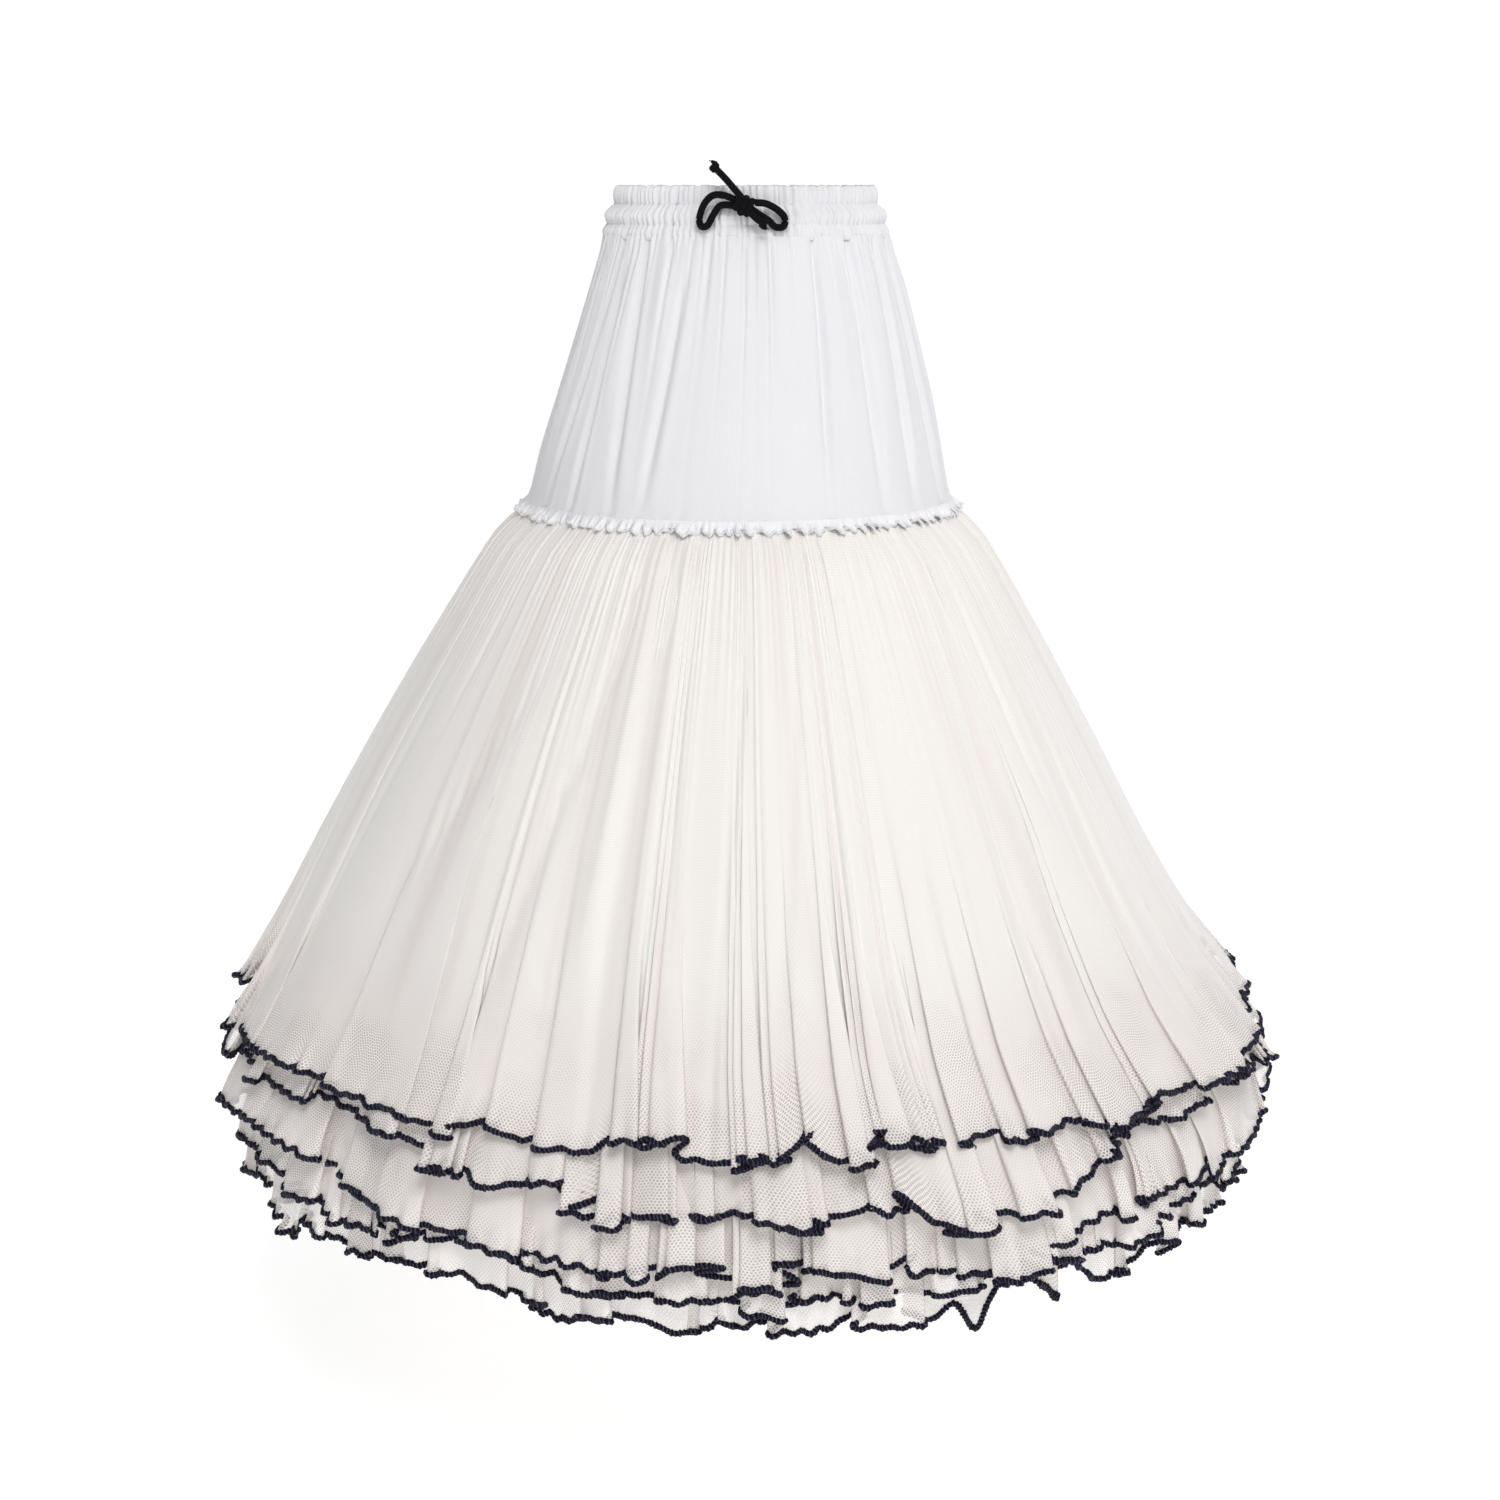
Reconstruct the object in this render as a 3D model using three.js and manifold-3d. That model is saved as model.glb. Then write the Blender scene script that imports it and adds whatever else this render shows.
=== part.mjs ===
// A tulle petticoat skirt, filled out as it is worn: a drawstring waistband, a gathered
// jersey yoke, and five nested layers of stiff net whose hems are overlocked in navy.
// Millimetres, +Z up. The origin is the middle of the waist at the height of the
// drawstring, the front faces -Y, and the skirt hangs below the waist.
import * as THREE from "three";
import { mergeVertices } from "three/addons/utils/BufferGeometryUtils.js";
import Module from "manifold-3d";

const wasm = await Module();
wasm.setup();

// Cloth thicknesses and the gap between pieces that are sewn together.
const SEAM_GAP = 0.3;
const BAND_CLOTH = 2.2;
const JERSEY = 1.5;
const NET = 1.2;

// Half the width and half the depth of the smooth skirt at each height, and how far its
// middle leans to one side. The waistband has its own table, because it is drawn in
// between its rows of stitching.
const BAND = [
  { z: 24, half: 113, depth: 87, lean: 0 },
  { z: 18, half: 115, depth: 89, lean: 0 },
  { z: 9, half: 114, depth: 88, lean: 0 },
  { z: 1, half: 123, depth: 96, lean: 0 },
  { z: -8, half: 120.5, depth: 93.5, lean: 0 },
  { z: -14, half: 125, depth: 98, lean: 0 },
  { z: -20, half: 124.5, depth: 97.5, lean: 0 },
];
const BODY = [
  { z: -20.3, half: 125.5, depth: 98.5, lean: 0 },
  { z: -70, half: 140.5, depth: 114, lean: -0.5 },
  { z: -140, half: 161, depth: 137, lean: -2.5 },
  { z: -205, half: 180, depth: 160, lean: -5 },
  { z: -256, half: 192, depth: 177, lean: -6.5 },
  { z: -272, half: 214.5, depth: 198, lean: -7 },
  { z: -310, half: 240, depth: 224, lean: -7.5 },
  { z: -398, half: 293, depth: 279, lean: -10 },
  { z: -480, half: 339.5, depth: 326, lean: -12 },
  { z: -560, half: 382, depth: 370, lean: -13 },
  { z: -640, half: 425.5, depth: 415, lean: -10 },
  { z: -700, half: 464, depth: 454, lean: -4 },
  { z: -750, half: 490, depth: 480, lean: 0 },
  { z: -800, half: 499, depth: 489, lean: 0 },
  { z: -900, half: 499, depth: 489, lean: 0 },
];

// Waistband: narrow gathers of the shirred casing.
const BAND_GATHERS = 34;
const BAND_GATHER_DEPTH = 1.3;

// Yoke: soft folds that fall from the waistband, deepest halfway down and at the sides.
const YOKE_FOLDS_A_PANEL = 9;
const YOKE_ROWS = [
  { z: -20.3, fold: 0.6 },
  { z: -70, fold: 2.2 },
  { z: -140, fold: 3 },
  { z: -205, fold: 2.4 },
  { z: -245, fold: 0 },
  { z: -254, fold: 0 },
];
const YOKE_BOTTOM = YOKE_ROWS[YOKE_ROWS.length - 1].z;

// The yoke's overlocked lower edge, which stands out over the net as a narrow frill.
const FRILL_WAVES = 34;
const FRILL_WAVE_DEPTH = 1.5;
const FRILL_DROP = 8;
const FRILL_OUT = 5.4;

// Net: the heights of the rings that all layers share, and each layer's own hem.
const NET_TOP = -247;
const NET_FREE = -256;
const NET_INSIDE_YOKE = JERSEY + 0.5;
const OUTER_ROWS = [NET_TOP, NET_FREE, -272, -310, -398, -560];
const INNER_ROWS = [NET_TOP, NET_FREE, -398, -560];
const OUTER_COLUMNS = 120;
const INNER_COLUMNS = 60;
const OUTER_FOLDS = 40;
const INNER_FOLDS = 15;
const OUTER_FOLD_DEPTH = 8;
const INNER_FOLD_DEPTH = 9;
const FOLDS_FULL_AT = -692;
const LAYER_GAP_TOP = 0.5;
const LAYER_GAP_HEM = 5;
// The outermost and the innermost layer are seamed from four widths of net each.
const WIDTHS = ["front", "right", "back", "left"];
// A hem's height in front, how much lower or higher it is at the sides, how uneven it is, and how
// far the layer spreads inwards in its own slow waves.
const LAYERS = [
  { name: "net_layer_1", hem: -695, droop: 16, uneven: 5, waves: 7, spread: 0, seamed: true },
  { name: "net_layer_2", hem: -743, droop: -20, uneven: 6, waves: 5, spread: 0 },
  { name: "net_layer_3", hem: -786, droop: -10, uneven: 6, waves: 8, spread: 4 },
  { name: "net_layer_4", hem: -810, droop: 2, uneven: 6, waves: 6, spread: 4 },
  { name: "net_layer_5", hem: -844, droop: 8, uneven: 6, waves: 9, spread: 4, seamed: true },
];

// The overlocked edging under each net hem.
const EDGING_THICK = 3.2;
const EDGING_TALL = 5;

// The plain flounce inside, which shows through the net as a paler band.
const FLOUNCE_ROWS = [
  { z: -420, gap: 1.5 },
  { z: -530, gap: 6 },
  { z: -640, gap: 20 },
];

// The drawstring's bow. Points are across, out from the waist and up.
const CORD = 6;
const CORD_SIDES = 8;
const KNOT = { at: [-1, -102.3, 8], size: [13, 7, 9.5] };
const LOOP_LEFT = [
  [-9, -103, 13],
  [-19, -101, 16.5],
  [-28, -99.5, 16],
  [-35, -98.5, 9],
  [-39, -97.5, -2],
  [-37.5, -98, -9],
  [-32, -99, -8],
  [-27.5, -100, -1],
  [-21, -101, 6],
  [-10, -102, 5.5],
];
const LOOP_RIGHT = [
  [8, -103, 10.5],
  [17, -101.5, 9.5],
  [26, -100, 5],
  [32.5, -99, -1.5],
  [32, -99, -9],
  [25, -100, -9.5],
  [19, -101, -4],
  [8.5, -102, 2.5],
];
const END_LONG = [
  [-4, -104.5, 15],
  [-9, -104, 21],
  [-17, -101, 30],
  [-25.5, -97, 38.5],
];
const END_SHORT = [
  [4, -106, 2],
  [9, -108, -2.5],
  [14, -108, -6],
];
const END_KNOT = [4.2, 4.2, 4.2];

// Colours, as [red, green, blue] from 0 to 1.
const WHITE_JERSEY = [0.93, 0.93, 0.95];
const IVORY_NET = [0.93, 0.9, 0.86];
const PALE_LINING = [0.96, 0.95, 0.92];
const NAVY_THREAD = [0.05, 0.05, 0.11];
const BLACK_CORD = [0.02, 0.02, 0.025];

const skirt = new THREE.Group();

function add(name, geometry, colour, roughness) {
  const material = new THREE.MeshStandardMaterial({
    color: new THREE.Color(...colour),
    roughness,
    metalness: 0,
  });
  const mesh = new THREE.Mesh(geometry, material);
  mesh.name = name;
  skirt.add(mesh);
}

// A table's columns at one height, between its rows.
function at(table, z) {
  const last = table.length - 1;
  const k = table.findIndex((row, i) => i === last - 1 || z >= table[i + 1].z);
  const [above, below] = [table[k], table[k + 1]];
  const share = THREE.MathUtils.clamp((above.z - z) / (above.z - below.z), 0, 1);
  const mix = (a, b) => THREE.MathUtils.lerp(a, b, share);
  return {
    half: mix(above.half, below.half),
    depth: mix(above.depth, below.depth),
    lean: mix(above.lean, below.lean),
  };
}

// A point of the skirt. turn runs round it from the front, 0 to 1, by the right side
// of the picture, and out is how far the point stands off the smooth surface.
function ringPoint(table, turn, z, out) {
  const angle = turn * 2 * Math.PI;
  const body = at(table, z);
  return [
    body.lean + (body.half + out) * Math.sin(angle),
    -(body.depth + out) * Math.cos(angle),
    z,
  ];
}

// A wall of cloth. point(column, row) gives { turn, z, out } on its outer face, and the
// inner face is the same points moved in by the cloth's thickness. An open wall has a
// column more than a closed one, and flat ends.
function clothWall({ table, columns, rows, thickness, closed, point }) {
  const across = closed ? columns : columns + 1;
  const corners = [];
  for (const moved of [0, thickness]) {
    for (let row = 0; row < rows; row++) {
      for (let column = 0; column < across; column++) {
        const { turn, z, out } = point(column, row);
        corners.push(ringPoint(table, turn, z, out - moved));
      }
    }
  }
  const outer = (column, row) => row * across + (column % across);
  const inner = (column, row) => rows * across + outer(column, row);
  const faces = [];
  const quad = (a, b, c, d) => faces.push(a, b, c, a, c, d);
  for (let c = 0; c < columns; c++) {
    for (let r = 0; r < rows - 1; r++) {
      quad(outer(c, r), outer(c, r + 1), outer(c + 1, r + 1), outer(c + 1, r));
      quad(inner(c, r), inner(c + 1, r), inner(c + 1, r + 1), inner(c, r + 1));
    }
    const low = rows - 1;
    quad(outer(c, 0), outer(c + 1, 0), inner(c + 1, 0), inner(c, 0));
    quad(outer(c, low), inner(c, low), inner(c + 1, low), outer(c + 1, low));
  }
  if (!closed) {
    for (let r = 0; r < rows - 1; r++) {
      quad(outer(0, r), inner(0, r), inner(0, r + 1), outer(0, r + 1));
      const end = columns;
      quad(outer(end, r), outer(end, r + 1), inner(end, r + 1), inner(end, r));
    }
  }
  const geometry = new THREE.BufferGeometry();
  geometry.setAttribute("position", new THREE.Float32BufferAttribute(corners.flat(), 3));
  geometry.setIndex(faces);
  geometry.computeVertexNormals();
  return geometry;
}

const wave = (count, share, phase = 0) => Math.cos(2 * Math.PI * count * share + phase);

// Folds are unevenly spaced: this moves a column's share of the way round.
function uneven(share) {
  return share + 0.006 * wave(3, share, 1) + 0.003 * wave(8, share, 2);
}

function waistband() {
  return clothWall({
    table: BAND,
    columns: 2 * BAND_GATHERS,
    rows: BAND.length,
    thickness: BAND_CLOTH,
    closed: true,
    point: (column, row) => {
      const share = column / (2 * BAND_GATHERS);
      return { turn: share, z: BAND[row].z, out: BAND_GATHER_DEPTH * wave(BAND_GATHERS, share) };
    },
  });
}

// One yoke panel, from one side seam to the other.
function yokePanel(startTurn) {
  const columns = 4 * YOKE_FOLDS_A_PANEL;
  return clothWall({
    table: BODY,
    columns,
    rows: YOKE_ROWS.length,
    thickness: JERSEY,
    closed: false,
    point: (column, row) => {
      const share = column / columns;
      const { z, fold } = YOKE_ROWS[row];
      const turn = startTurn + seamTurn(z) + share * (0.5 - 2 * seamTurn(z));
      const side = 0.4 + 0.6 * Math.abs(Math.sin(2 * Math.PI * turn));
      return { turn, z, out: fold * side * wave(YOKE_FOLDS_A_PANEL, share) };
    },
  });
}

function yokeFrill() {
  const columns = 2 * FRILL_WAVES;
  const onYoke = SEAM_GAP + NET;
  const rows = [
    { z: YOKE_BOTTOM + 7, out: onYoke, wave: 0 },
    { z: YOKE_BOTTOM, out: onYoke, wave: 0 },
    { z: YOKE_BOTTOM - FRILL_DROP, out: FRILL_OUT, wave: FRILL_WAVE_DEPTH },
  ];
  return clothWall({
    table: BODY,
    columns,
    rows: rows.length,
    thickness: NET,
    closed: true,
    point: (column, row) => {
      const share = column / columns;
      const { z, out, wave: depth } = rows[row];
      return { turn: share, z, out: out + depth * wave(FRILL_WAVES, share) };
    },
  });
}

// How far a height is from where the net leaves the yoke to where its folds are full.
function opened(z) {
  return THREE.MathUtils.clamp((NET_FREE - z) / (NET_FREE - FOLDS_FULL_AT), 0, 1);
}

// How far a net layer's outer face stands off the smooth skirt. The outer layer has
// narrow folds. The others lie inside its troughs, one within the next, in wider folds.
function netOut(layer, share, z) {
  const open = opened(z);
  const inside = z > NET_FREE - 1 ? NET_INSIDE_YOKE : 0;
  const outerFold = OUTER_FOLD_DEPTH * open;
  if (layer === 0) return outerFold * wave(OUTER_FOLDS, share) - inside;
  const gap = THREE.MathUtils.lerp(LAYER_GAP_TOP, LAYER_GAP_HEM, open);
  const innerFold = INNER_FOLD_DEPTH * open;
  let out = innerFold * (wave(INNER_FOLDS, share) - 1) - 0.5 * outerFold;
  for (let k = 1; k <= layer; k++) {
    const { spread, waves } = LAYERS[k];
    out -= NET + gap + spread * open * (0.5 + 0.5 * wave(waves, share, k));
  }
  return out - inside;
}

// A net layer's hem is lower at the sides, and a little longer in some places.
function hemHeight(layer, share) {
  const { hem, droop, uneven: depth, waves } = LAYERS[layer];
  const lower = droop * Math.sin(2 * Math.PI * share) ** 2;
  return hem - lower + depth * (0.6 * wave(waves, share, layer) + 0.4 * wave(waves + 4, share));
}

// The share of a full turn that half a seam's gap takes at one height.
function seamTurn(z) {
  return SEAM_GAP / 2 / (2 * Math.PI * at(BODY, z).half);
}

// A whole net layer, or the stretch of columns between two of its seams.
function netLayer(layer, first = 0, last = null) {
  const whole = layer === 0 ? OUTER_COLUMNS : INNER_COLUMNS;
  const columns = last === null ? whole : last - first;
  const rows = layer === 0 ? OUTER_ROWS : INNER_ROWS;
  return clothWall({
    table: BODY,
    columns,
    rows: rows.length + 1,
    thickness: NET,
    closed: last === null,
    point: (column, row) => {
      const share = (first + column) / whole;
      const z = row < rows.length ? rows[row] : hemHeight(layer, share);
      let turn = uneven(share);
      if (last !== null && column === 0) turn += seamTurn(z);
      if (last !== null && column === columns) turn -= seamTurn(z);
      return { turn, z, out: netOut(layer, share, z) };
    },
  });
}

// One of a seamed layer's widths.
function netWidth(layer, width) {
  const columns = (layer === 0 ? OUTER_COLUMNS : INNER_COLUMNS) / WIDTHS.length;
  const first = Math.round((width - 0.5) * columns);
  return netLayer(layer, first, first + columns);
}

// The overlocked edge follows its layer's hem, centred on the net's thickness.
function netEdging(layer) {
  const columns = layer === 0 ? OUTER_COLUMNS : INNER_COLUMNS;
  return clothWall({
    table: BODY,
    columns,
    rows: 2,
    thickness: EDGING_THICK,
    closed: true,
    point: (column, row) => {
      const share = column / columns;
      const hem = hemHeight(layer, share);
      const out = netOut(layer, share, hem) + (EDGING_THICK - NET) / 2;
      return { turn: uneven(share), z: hem - SEAM_GAP - row * EDGING_TALL, out };
    },
  });
}

function innerFlounce() {
  const innermost = LAYERS.length - 1;
  return clothWall({
    table: BODY,
    columns: INNER_COLUMNS,
    rows: FLOUNCE_ROWS.length,
    thickness: NET,
    closed: true,
    point: (column, row) => {
      const share = column / INNER_COLUMNS;
      const { z, gap } = FLOUNCE_ROWS[row];
      return { turn: uneven(share), z, out: netOut(innermost, share, z) - NET - gap };
    },
  });
}

// Closed geometry to a solid, and back.
function solidOf(geometry) {
  const bare = geometry.clone();
  bare.deleteAttribute("normal");
  bare.deleteAttribute("uv");
  const merged = mergeVertices(bare, 1e-4);
  return new wasm.Manifold(
    new wasm.Mesh({
      numProp: 3,
      vertProperties: merged.attributes.position.array,
      triVerts: new Uint32Array(merged.index.array),
    }),
  );
}

function geometryOf(solid) {
  const mesh = solid.getMesh();
  const geometry = new THREE.BufferGeometry();
  geometry.setAttribute("position", new THREE.BufferAttribute(mesh.vertProperties, 3));
  geometry.setIndex(new THREE.BufferAttribute(mesh.triVerts, 1));
  geometry.computeVertexNormals();
  return geometry;
}

function cordTube(points, diameter, steps) {
  const section = new THREE.Shape();
  for (let side = 0; side < CORD_SIDES; side++) {
    const angle = (2 * Math.PI * side) / CORD_SIDES;
    const [x, y] = [(diameter / 2) * Math.cos(angle), (diameter / 2) * Math.sin(angle)];
    if (side === 0) section.moveTo(x, y);
    else section.lineTo(x, y);
  }
  section.closePath();
  const path = new THREE.CatmullRomCurve3(points.map((p) => new THREE.Vector3(...p)));
  return new THREE.ExtrudeGeometry(section, { steps, extrudePath: path, bevelEnabled: false });
}

function ball([x, y, z], [across, out, up]) {
  return new THREE.SphereGeometry(1, 12, 8).scale(across, out, up).translate(x, y, z);
}

// The bow: two loops and two knotted ends, held by one knot that is hollowed out round
// them.
function drawstring() {
  const strands = [
    { name: "drawcord_loop_left", points: LOOP_LEFT, steps: 14 },
    { name: "drawcord_loop_right", points: LOOP_RIGHT, steps: 12 },
    { name: "drawcord_end_long", points: END_LONG, steps: 4, knotted: true },
    { name: "drawcord_end_short", points: END_SHORT, steps: 3, knotted: true },
  ];
  let knot = solidOf(ball(KNOT.at, KNOT.size));
  for (const { name, points, steps, knotted } of strands) {
    let strand = solidOf(cordTube(points, CORD, steps));
    if (knotted) strand = strand.add(solidOf(ball(points[points.length - 1], END_KNOT)));
    add(name, geometryOf(strand), BLACK_CORD, 0.9);
    knot = knot.subtract(solidOf(cordTube(points, CORD + 2 * SEAM_GAP, steps)));
  }
  add("drawcord_knot", geometryOf(knot), BLACK_CORD, 0.9);
}

add("waistband", waistband(), WHITE_JERSEY, 0.85);
add("yoke_front", yokePanel(-0.25), WHITE_JERSEY, 0.85);
add("yoke_back", yokePanel(0.25), WHITE_JERSEY, 0.85);
add("yoke_frill", yokeFrill(), WHITE_JERSEY, 0.9);
LAYERS.forEach(({ name, seamed }, layer) => {
  if (seamed) {
    WIDTHS.forEach((side, width) => add(`${name}_${side}`, netWidth(layer, width), IVORY_NET, 0.8));
  } else add(name, netLayer(layer), IVORY_NET, 0.8);
  add(name.replace("layer", "edging"), netEdging(layer), NAVY_THREAD, 0.7);
});
add("inner_flounce", innerFlounce(), PALE_LINING, 0.85);
drawstring();

export default skirt;
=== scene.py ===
"""A tulle petticoat skirt in its worn shape: drawstring waistband, jersey yoke, five layers of net."""

import math

import bmesh
import bpy
import numpy as np
from mathutils import Matrix, Vector


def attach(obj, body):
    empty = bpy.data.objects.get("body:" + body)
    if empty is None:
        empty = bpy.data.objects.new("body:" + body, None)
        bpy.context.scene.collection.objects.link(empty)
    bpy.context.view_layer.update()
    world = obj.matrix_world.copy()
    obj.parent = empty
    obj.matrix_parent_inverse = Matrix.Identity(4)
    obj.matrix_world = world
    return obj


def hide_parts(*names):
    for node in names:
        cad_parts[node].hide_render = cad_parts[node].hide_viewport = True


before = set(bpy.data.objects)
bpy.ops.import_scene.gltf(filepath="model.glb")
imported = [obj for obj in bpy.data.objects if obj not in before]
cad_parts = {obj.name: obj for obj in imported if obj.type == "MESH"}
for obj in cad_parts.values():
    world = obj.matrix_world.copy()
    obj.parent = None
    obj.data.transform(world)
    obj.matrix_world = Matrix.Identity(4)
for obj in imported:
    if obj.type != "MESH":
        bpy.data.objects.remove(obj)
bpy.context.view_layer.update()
SEED = 7
TURN = 2 * math.pi

# Camera

LENS = 57.05
CAMERA_AT = (0.0036, -2.15, 0.024)
CAMERA_DOWN = 13.348


def camera():
    data = bpy.data.cameras.new("camera")
    data.lens = LENS
    data.sensor_width = 36
    data.clip_start = 0.05
    data.clip_end = 60
    cam = bpy.data.objects.new("camera", data)
    cam.location = CAMERA_AT
    cam.rotation_euler = (math.radians(90 - CAMERA_DOWN), 0, 0)
    bpy.context.scene.collection.objects.link(cam)
    bpy.context.scene.camera = cam


camera()
bpy.context.scene.view_settings.view_transform = "Standard"
bpy.context.scene.cycles.transparent_max_bounces = 40

# Mesh helpers


def rows_mesh(name, points, uv, closed=True, tube=False):
    """A grid of quads bent to points[row, column], joined round where its columns close."""
    rows, columns = points.shape[:2]
    bm = bmesh.new()
    bm.loops.layers.uv.new("UVMap")
    bmesh.ops.create_grid(bm, x_segments=columns - 1, y_segments=rows - 1, size=1.0, calc_uvs=True)
    mesh = bpy.data.meshes.new(name)
    bm.verts.ensure_lookup_table()
    flat = np.array([v.co[:2] for v in bm.verts])
    column = np.rint((flat[:, 0] + 1) / 2 * (columns - 1)).astype(int)
    row = np.rint((flat[:, 1] + 1) / 2 * (rows - 1)).astype(int)
    bm.to_mesh(mesh)
    bm.free()
    mesh.vertices.foreach_set("co", points[row, column].astype(np.float32).ravel())
    corner = np.zeros(len(mesh.loops), np.int32)
    mesh.loops.foreach_get("vertex_index", corner)
    layer = mesh.uv_layers["UVMap"]
    layer.data.foreach_set("uv", uv[row, column][corner].astype(np.float32).ravel())
    if closed or tube:
        bm = bmesh.new()
        bm.from_mesh(mesh)
        bmesh.ops.remove_doubles(bm, verts=bm.verts, dist=1e-6)
        if tube:
            bmesh.ops.recalc_face_normals(bm, faces=bm.faces)
        bm.to_mesh(mesh)
        bm.free()
    mesh.polygons.foreach_set("use_smooth", np.ones(len(mesh.polygons), bool))
    mesh.update()
    return mesh


def piece(name, mesh, material, slot, *nodes):
    """A finished piece of the skirt, which stands for the nodes that are named."""
    obj = bpy.data.objects.new(name, mesh)
    bpy.context.scene.collection.objects.link(obj)
    mesh.materials.append(material)
    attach(obj, "root")
    if nodes:
        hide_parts(*nodes)
    return obj


def tube_mesh(name, path, radius, sides, closed, squash=1.0, out=None):
    """A round section carried along a path. out gives the direction that one side of it faces."""
    path = np.asarray(path, float)
    if closed:
        ahead = np.roll(path, -1, axis=0) - np.roll(path, 1, axis=0)
    else:
        ahead = np.gradient(path, axis=0)
    ahead /= np.linalg.norm(ahead, axis=1)[:, None] + 1e-12
    if out is None:
        out = np.tile([0.0, 0.0, 1.0], (len(path), 1))
    side = np.cross(ahead, out)
    side /= np.linalg.norm(side, axis=1)[:, None] + 1e-12
    up = np.cross(side, ahead)
    step = np.linalg.norm(np.diff(path, axis=0, append=path[:1] if closed else path[-1:]), axis=1)
    along = np.concatenate([[0], np.cumsum(step)])[: len(path)]
    if closed:
        path, side, up = (np.concatenate([a, a[:1]]) for a in (path, side, up))
        along = np.concatenate([along, [along[-1] + step[-1]]])
        radius = np.concatenate([radius, radius[:1]]) if np.ndim(radius) else radius
    phase = np.arange(sides + 1) * TURN / sides
    reach = np.broadcast_to(np.asarray(radius, float), (len(path),))[:, None, None]
    across = np.cos(phase)[None, :, None] * side[:, None]
    upright = squash * np.sin(phase)[None, :, None] * up[:, None]
    ring = across + upright
    points = path[:, None] + reach * ring
    uv = np.stack(np.broadcast_arrays(along[:, None], phase[None, :] / TURN), axis=-1)
    return rows_mesh(name, points, uv, closed=closed, tube=True)


def close_ends(mesh):
    """Caps on the open ends of a tube."""
    bm = bmesh.new()
    bm.from_mesh(mesh)
    rim = [e for e in bm.edges if e.is_boundary]
    bmesh.ops.holes_fill(bm, edges=rim, sides=0)
    bmesh.ops.recalc_face_normals(bm, faces=bm.faces)
    bm.to_mesh(mesh)
    bm.free()


def smooth_curve(points, steps):
    """A smooth line through the points, a Catmull-Rom spline with even steps between them."""
    p = np.asarray(points, float)
    p = np.vstack([2 * p[0] - p[1], p, 2 * p[-1] - p[-2]])
    line = []
    for k in range(1, len(p) - 2):
        t = np.linspace(0, 1, steps, endpoint=False)[:, None]
        a, b, c, d = p[k - 1 : k + 3]
        square = (2 * a - 5 * b + 4 * c - d) * t**2
        cube = (3 * b - a - 3 * c + d) * t**3
        line.append(0.5 * (2 * b + (c - a) * t + square + cube))
    return np.vstack(line + [p[-2:-1]])


def smoothstep(low, high, x):
    """0 below low, 1 above high, and an even curve between them."""
    t = np.clip((x - low) / (high - low), 0, 1)
    return t * t * (3 - 2 * t)


def uneven_wave(c, low, high, count, rng):
    """A wave of mixed lengths that swells and calms, from low to high waves in a turn."""
    total = 0
    for n, phase in zip(rng.integers(low, high, count), rng.uniform(0, TURN, count)):
        total = total + np.sin(TURN * n * c + phase)
    return total / math.sqrt(count)


# The skirt's form

# Height, half width, half depth and lean to one side, in millimetres, as in the solids.
BODY = np.array(
    [
        (-20.3, 125.5, 98.5, 0),
        (-70, 140.5, 114, -0.5),
        (-140, 161, 137, -2.5),
        (-205, 180, 160, -5),
        (-256, 192, 177, -6.5),
        (-272, 214.5, 198, -7),
        (-310, 240, 224, -7.5),
        (-398, 293, 279, -10),
        (-480, 339.5, 326, -12),
        (-560, 382, 370, -13),
        (-640, 425.5, 415, -10),
        (-700, 464, 454, -4),
        (-750, 490, 480, 0),
        (-800, 499, 489, 0),
        (-900, 499, 489, 0),
    ]
)
BAND = np.array(
    [
        (24, 113, 87),
        (18, 115, 89),
        (9, 114, 88),
        (1, 123, 96),
        (-8, 120.5, 93.5),
        (-14, 125, 98),
        (-20, 124.5, 97.5),
    ]
)
# Heights in millimetres: the net's seam under the frill, where it leaves the yoke, and how
# far below that its folds are full.
NET_TOP = -247.0
NET_FREE = -256
NET_SPREAD = 440


def column_of(table, z, k):
    """A table's column k at the height z, between its rows."""
    return np.interp(-np.asarray(z, float), -table[:, 0], table[:, k])


def soft_column(z, k, reach=14.0):
    """The body's width, depth or lean at z, with the table's corners rounded off."""
    taps = np.linspace(-reach, reach, 7)
    return sum(column_of(BODY, np.asarray(z) + t, k) for t in taps) / len(taps)


def on_skirt(angle, z, out, rounded=True):
    """Points at an angle from the front, a height and a distance off the surface, in metres."""
    read = soft_column if rounded else lambda height, k: column_of(BODY, height, k)
    half, depth, lean = (read(z, k) for k in (1, 2, 3))
    x = lean + (half + out) * np.sin(angle)
    y = -(depth + out) * np.cos(angle)
    return np.stack(np.broadcast_arrays(x, y, z), axis=-1) / 1000


# Materials


def new_material(name, roughness, sheen=0.0, sheen_rough=0.5):
    material = bpy.data.materials.new(name)
    material.use_nodes = True
    tree = material.node_tree
    shader = tree.nodes["Principled BSDF"]
    shader.inputs["Roughness"].default_value = roughness
    shader.inputs["Sheen Weight"].default_value = sheen
    shader.inputs["Sheen Roughness"].default_value = sheen_rough
    shader.inputs["Specular IOR Level"].default_value = 0.25
    return material, tree, shader


def node(tree, kind, inputs=None, **settings):
    made = tree.nodes.new(kind)
    for key, value in settings.items():
        setattr(made, key, value)
    for key, value in (inputs or {}).items():
        if isinstance(value, bpy.types.NodeSocket):
            tree.links.new(value, made.inputs[key])
        else:
            made.inputs[key].default_value = value
    return made


def smooth_range(tree, value, low, high, first=0.0, last=1.0):
    """A value between low and high, eased, on a scale from first to last."""
    ends = {"From Min": low, "From Max": high, "To Min": first, "To Max": last}
    made = node(tree, "ShaderNodeMapRange", {"Value": value, **ends}, interpolation_type="SMOOTHSTEP")
    return made.outputs[0]


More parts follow.
